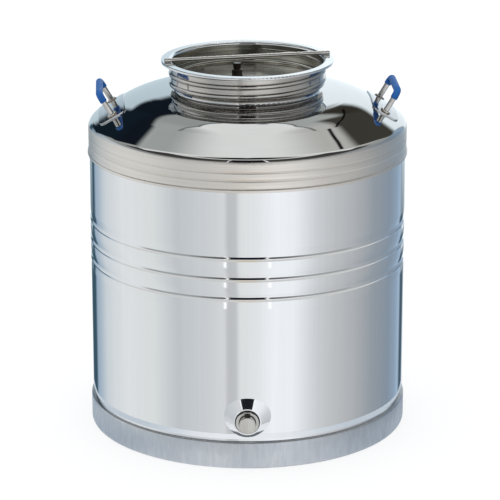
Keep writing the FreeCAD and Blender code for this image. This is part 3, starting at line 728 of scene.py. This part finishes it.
@dataclass(frozen=True)
class Finishes:
    """Every finish of the fermenter, built once."""

    mirror: bpy.types.Material
    shoulder: bpy.types.Material
    satin: bpy.types.Material
    neck: bpy.types.Material
    pan: bpy.types.Material
    plate: bpy.types.Material
    rod: bpy.types.Material
    dark_metal: bpy.types.Material
    weld: bpy.types.Material
    blue: bpy.types.Material
    rubber: bpy.types.Material
    silicone: bpy.types.Material

    @classmethod
    def build(cls, effects: SharedEffects) -> "Finishes":
        """Make the materials.

        Args:
            effects: the shared node groups.

        Returns:
            All the finishes.
        """
        upright, light = Grain.UPRIGHT, (0.84, 0.85, 0.86)
        wall = SteelFinish(
            "mirror_sheet", light, (0.77, 0.78, 0.80), 0.05, 0.03, upright,
            lines_per_m=700.0, line_length=0.5, line_depth=0.003, line_tint=0.3,
            swell=0.05, swell_length=0.035, clouds=0.2,
        )
        band = SteelFinish(
            "brushed_band", (0.84, 0.80, 0.75), (0.66, 0.62, 0.57), 0.33, 0.08,
            lines_per_m=1500.0, line_length=0.3, line_depth=0.012, line_tint=0.5, clouds=0.3,
        )
        dome = SteelFinish(
            "mirror_dome", (0.61, 0.62, 0.62), (0.54, 0.55, 0.55), 0.015, 0.015,
            lines_per_m=500.0, line_length=0.5, line_depth=0.001, line_tint=0.15, clouds=0.2,
        )
        satin = SteelFinish(
            "satin_steel", (0.60, 0.62, 0.65), (0.46, 0.49, 0.53), 0.26, 0.10, upright,
            lines_per_m=1400.0, line_length=0.03, line_depth=0.03, line_tint=0.5, clouds=0.8,
        )
        neck = SteelFinish(
            "neck_steel", (0.58, 0.56, 0.53), (0.34, 0.32, 0.30), 0.10, 0.04,
            line_length=0.2, line_depth=0.002, line_tint=0.6, clouds=0.4,
        )
        # The neck's foot is painted far darker than the neck: painted shade where the neck meets the dome.
        shaded_neck_foot = SteelFinish(
            "shaded_neck_foot", (0.26, 0.23, 0.20), (0.18, 0.16, 0.14), 0.12, 0.05,
            lines_per_m=600.0, line_length=0.3, line_depth=0.001, line_tint=0.5, clouds=0.2,
        )
        pan = SteelFinish(
            "pan_wall", (0.60, 0.59, 0.54), (0.24, 0.23, 0.20), 0.13, 0.08,
            lines_per_m=260.0, line_length=0.4, line_depth=0.01, line_tint=1.0, clouds=0.5,
        )
        rim = SteelFinish(
            "pan_rim", (0.78, 0.80, 0.81), (0.60, 0.61, 0.62), 0.09, 0.05,
            line_length=0.2, line_depth=0.002, line_tint=0.4, clouds=0.4,
        )
        plate = SteelFinish(
            "plate_steel", (0.50, 0.52, 0.54), (0.34, 0.35, 0.37), 0.06, 0.05, line_depth=0.003, clouds=0.6,
        )
        rod = SteelFinish(
            "bright_rod", (0.62, 0.61, 0.59), (0.42, 0.40, 0.37), 0.09, 0.06, upright,
            lines_per_m=1500.0, line_length=0.05, line_depth=0.01, line_tint=0.4,
        )
        dark = SteelFinish(
            "dark_metal", (0.10, 0.085, 0.07), (0.05, 0.04, 0.035), 0.24, 0.10, upright,
            lines_per_m=2500.0, line_length=0.01, line_depth=0.02, line_tint=0.5,
        )
        weld = SteelFinish(
            "weld_steel", (0.50, 0.42, 0.33), (0.20, 0.16, 0.13), 0.26, 0.15,
            lines_per_m=1200.0, line_length=0.004, line_depth=0.1, line_tint=0.8, clouds=1.0,
        )
        shoulder = BandedFinish("band_and_dome", band, dome, edge_z=0.4502, edge_blur=0.0004)
        # Below edge_z the neck ring takes the darker foot, which is painted shade.
        whole_neck = BandedFinish("neck_and_shaded_foot", shaded_neck_foot, neck, edge_z=0.5065, edge_blur=0.0015)
        whole_pan = BandedFinish("pan_and_rim", pan, rim, edge_z=0.5395, edge_blur=0.0005)
        blue = MouldedFinish("blue_sleeve", (0.0, 0.11, 0.42), (0.0, 0.14, 0.50), roughness=0.5)
        rubber = MouldedFinish("black_rubber", (0.015,) * 3, (0.04,) * 3, roughness=0.55)
        silicone = MouldedFinish(
            "pale_silicone", (0.62, 0.61, 0.58), (0.52, 0.51, 0.48), roughness=0.5,
        )
        return cls(
            mirror=wall.build(effects),
            shoulder=shoulder.build(effects),
            satin=satin.build(effects),
            neck=whole_neck.build(effects),
            pan=whole_pan.build(effects),
            plate=plate.build(effects),
            rod=rod.build(effects),
            dark_metal=dark.build(effects),
            weld=weld.build(effects),
            blue=blue.build(effects),
            rubber=rubber.build(effects),
            silicone=silicone.build(effects),
        )


@dataclass
class Drum:
    """Body wall with its beads, bottom plate, foot ring, shoulder dome and neck."""

    finishes: Finishes

    def dress(self) -> None:
        """Dress the drum's carried nodes."""
        dress(("body_shell",), self.finishes.mirror)
        dress(("shoulder_dome",), self.finishes.shoulder)
        dress(("foot_ring", "bottom_plate"), self.finishes.satin)
        # The neck ring's darker foot is painted shade where it meets the dome.
        dress(("neck_ring",), self.finishes.neck)


@dataclass
class ScrewLid:
    """Lid pan with its rolled thread, gasket, bar and vent."""

    finishes: Finishes

    def dress(self) -> None:
        """Dress the lid's carried nodes."""
        dress(("lid_pan",), self.finishes.pan)
        dress(("lid_bar",), self.finishes.rod)
        dress(("lid_gasket",), self.finishes.silicone)
        dress(("vent_body", "vent_knob"), self.finishes.dark_metal)
        dress(("vent_washer", "vent_nut"), self.finishes.satin)
        dress(("vent_seal",), self.finishes.rubber)


@dataclass
class SideHandle:
    """One handle: plate on the shoulder, bail, sleeve and the welds round its feet."""

    finishes: Finishes
    side: Side
    azimuth_deg: float
    centre_r: float = 0.1964
    lean_deg: float = 31.0
    shoulder_r: float = 0.2312
    shoulder_z: float = 0.45252
    plate_thick: float = 0.002
    leg_apart: float = 0.088
    seat_rounds: int = 3
    foot_r: float = 0.0066
    foot_wobble: float = 0.0003
    foot_lobes: int = 3
    weld_r: float = 0.0012
    weld_lumps: int = 9
    lump_share: float = 0.18
    weld_ripples: int = 17
    ripple_share: float = 0.1
    weld_steps: int = 72

    def dress(self) -> None:
        """Dress the handle's carried nodes."""
        dress((f"handle_plate_{self.side.value}",), self.finishes.plate)
        dress((f"handle_bail_{self.side.value}",), self.finishes.rod)
        dress((f"handle_grip_{self.side.value}",), self.finishes.blue)

    def place(self) -> Matrix:
        """Return the handle's own frame: X along the bar, Z off the shoulder."""
        turn = Matrix.Rotation(math.radians(self.azimuth_deg), 4, "Z")
        lean = Matrix.Rotation(math.radians(self.lean_deg), 4, "Y")
        quarter = Matrix.Rotation(math.radians(90), 4, "Z")
        rise = (self.shoulder_r - self.centre_r) * math.tan(math.radians(self.lean_deg))
        at = Matrix.Translation(turn @ Vector((self.centre_r, 0, self.shoulder_z + rise)))
        return at @ turn @ lean @ quarter

    def on_plate(self, across: float, up: float) -> Vector:
        """Find the point of the plate's upper face under a point of the handle's frame.

        Args:
            across: distance along the bar.
            up: distance up the shoulder.

        Returns:
            The point on the plate.
        """
        place = self.place()
        lean = math.radians(self.lean_deg)
        depth = 0.0
        for _ in range(self.seat_rounds):
            at = place @ Vector((across, up, depth))
            radius = math.hypot(at.x, at.y)
            cone_z = self.shoulder_z + (self.shoulder_r - radius) * math.tan(lean)
            face_z = cone_z + self.plate_thick / math.cos(lean)
            depth -= (at.z - face_z) * math.cos(lean)
        return place @ Vector((across, up, depth))

    def build_welds(self) -> None:
        """Lay a lumpy weld bead round each leg's foot."""
        off = (self.place().to_3x3() @ Vector((0, 0, 1))).normalized()
        for leg, sign in (("near", -1), ("far", 1)):
            line, sides, radii = [], [], []
            middle = sign * self.leg_apart / 2
            foot = self.on_plate(middle, 0.0)
            for step in range(self.weld_steps):
                turn = 2 * math.pi * step / self.weld_steps
                reach = self.foot_r + self.foot_wobble * math.sin(self.foot_lobes * turn + sign)
                line.append(self.on_plate(middle + reach * math.cos(turn), reach * math.sin(turn)))
                sides.append((line[-1] - foot).normalized())
                lump = self.lump_share * math.sin(self.weld_lumps * turn)
                ripple = self.ripple_share * math.sin(self.weld_ripples * turn + sign)
                radii.append(self.weld_r * (1 + lump + ripple))
            bead = swept_ring(f"weld_{self.side.value}_{leg}", line, sides, off, radii)
            add_piece(bead, "vessel", self.finishes.weld)


@dataclass
class LowPort:
    """Threaded port near the foot, with its plug and a thin black ring under the ferrule that paints the
    shade in the gap against the boss.
    """

    finishes: Finishes
    centre_z: float = 0.0725
    face_y: float = -0.2355
    shade_ring_r: float = 0.0172
    shade_ring_thick: float = 0.0007
    shade_ring_steps: int = 72

    def dress(self) -> None:
        """Dress the port's carried nodes."""
        dress(("port_ferrule", "port_plug"), self.finishes.rod)
        dress(("port_nut",), self.finishes.satin)
        dress(("port_seal",), self.finishes.rubber)

    def build_shade_ring(self) -> None:
        """Lay a thin black ring between the ferrule and the boss: painted shade of the gap there."""
        line, sides = [], []
        for step in range(self.shade_ring_steps):
            turn = 2 * math.pi * step / self.shade_ring_steps
            sides.append(Vector((math.cos(turn), 0, math.sin(turn))))
            line.append(Vector((0, self.face_y, self.centre_z)) + self.shade_ring_r * sides[-1])
        radii = [self.shade_ring_thick] * self.shade_ring_steps
        # A thin black ring that stands in for the shade in the gap between ferrule and boss: painted shade.
        ring = swept_ring("ferrule_shade_ring", line, sides, Vector((0, -1, 0)), radii)
        add_piece(ring, "vessel", self.finishes.rubber)


def main() -> None:
    """Build the studio, then the fermenter's sub-assemblies in order."""
    studio = Studio()
    studio.place_camera()
    studio.build_surroundings()
    studio.lay_floor()
    finishes = Finishes.build(SharedEffects())
    Drum(finishes).dress()
    ScrewLid(finishes).dress()
    for side, azimuth in ((Side.LEFT, 183.0), (Side.RIGHT, 3.0)):
        handle = SideHandle(finishes, side, azimuth)
        handle.dress()
        handle.build_welds()
    port = LowPort(finishes)
    port.dress()
    # The black ring round the ferrule is painted shade.
    port.build_shade_ring()


if __name__ == "__main__":
    logging.basicConfig(level=logging.INFO, format="%(name)s: %(message)s")
    main()
